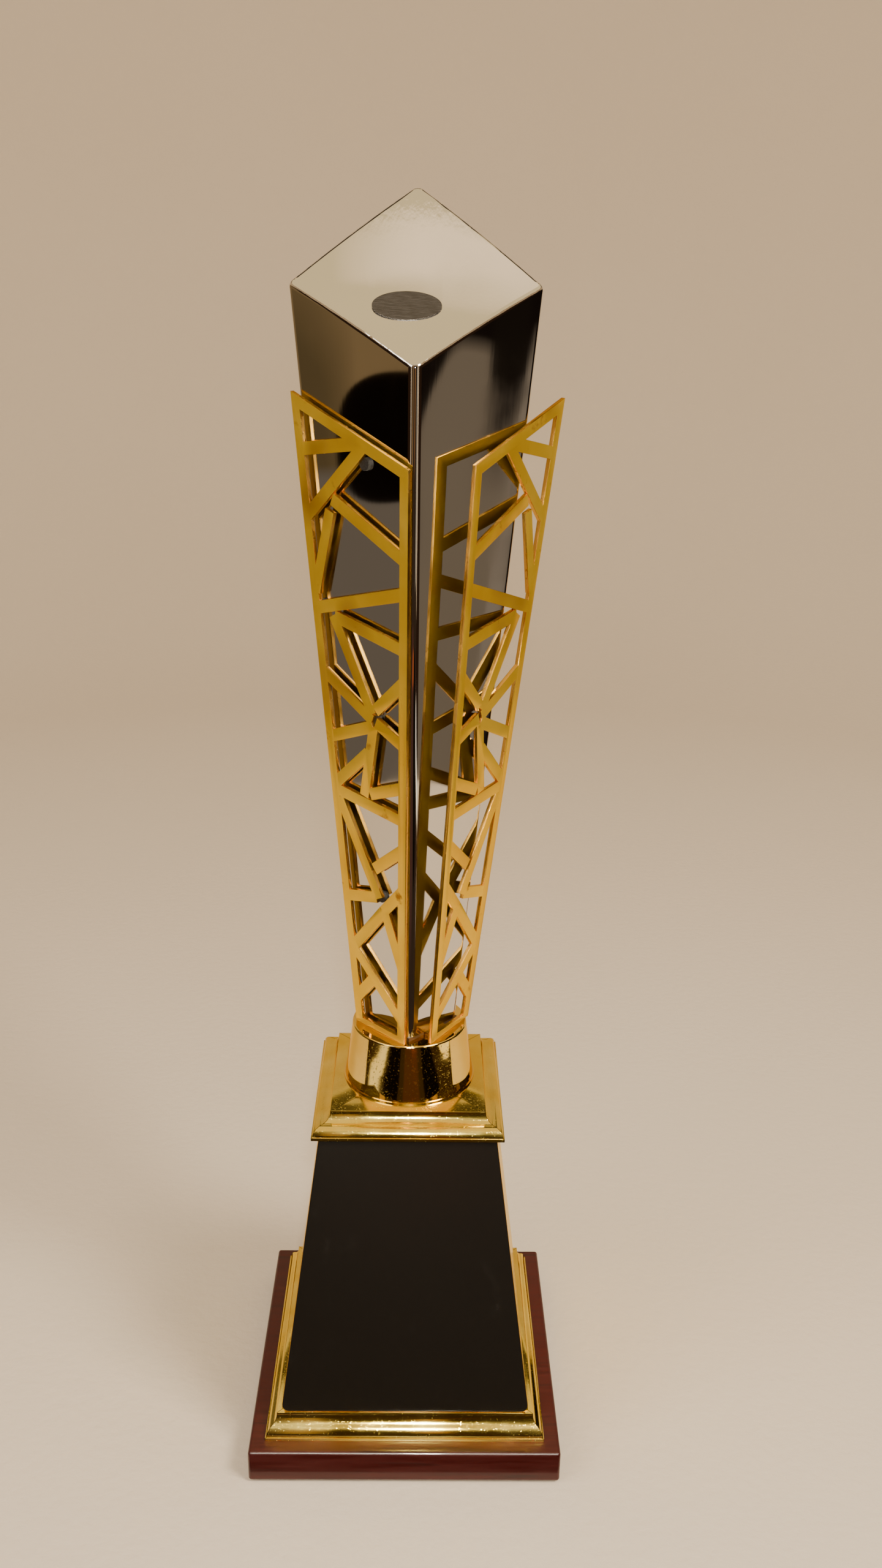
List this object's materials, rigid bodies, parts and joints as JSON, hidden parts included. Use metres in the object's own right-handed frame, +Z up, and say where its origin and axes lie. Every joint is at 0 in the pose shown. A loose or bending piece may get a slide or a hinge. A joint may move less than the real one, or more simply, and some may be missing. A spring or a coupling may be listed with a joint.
{
  "type": "column trophy",
  "caption": "Column trophy: a tapered square mirror column with a sloping top and two cut-metal lattice panels, on a collar, a tapered pedestal and a square board.",
  "frame": {"origin": "centre of the underside, on the surface that the trophy stands on", "axes": "+Z up the tie rod and the column, -Y towards the viewer who reads the engraving plate, +X to that viewer's right"},
  "size_m": [0.125, 0.125, 0.487],
  "materials": {
    "felt": "short-pile felt",
    "board_lacquer": "dark mahogany red, gloss lacquer",
    "zinc_steel": "zinc plated",
    "gold_plate": "polished gold plating",
    "black_plate": "satin black lacquer with a bright cut edge",
    "adhesive_film": "adhesive film",
    "gold_collar": "mirror gold plating",
    "packing": "moulded black plastic",
    "mirror_chrome": "mirror polish",
    "disc_grey": "satin dark grey",
    "gold_sheet": "cut sheet, polished gold plating",
    "foam_tape": "adhesive foam"
  },
  "bodies": {
    "root": {"felt_pad": "felt", "plinth_board": "board_lacquer", "board_screws": "zinc_steel", "lower_nut": "zinc_steel", "lock_washer": "zinc_steel", "plain_washer": "zinc_steel", "tie_rod": "zinc_steel", "rod_insert": "zinc_steel", "panel_screws": "zinc_steel", "foot_moulding": "gold_plate", "cap_moulding": "gold_plate", "pedestal_body": "gold_plate", "engraving_plate": "black_plate", "plate_adhesive": "adhesive_film", "collar": "gold_collar", "foot_shim": "packing", "column_plug": "packing", "column_shell": "mirror_chrome", "top_disc": "disc_grey", "lattice_panel_left": "gold_sheet", "lattice_panel_right": "gold_sheet", "panel_pads": "foam_tape"}
  },
  "joints": []
}
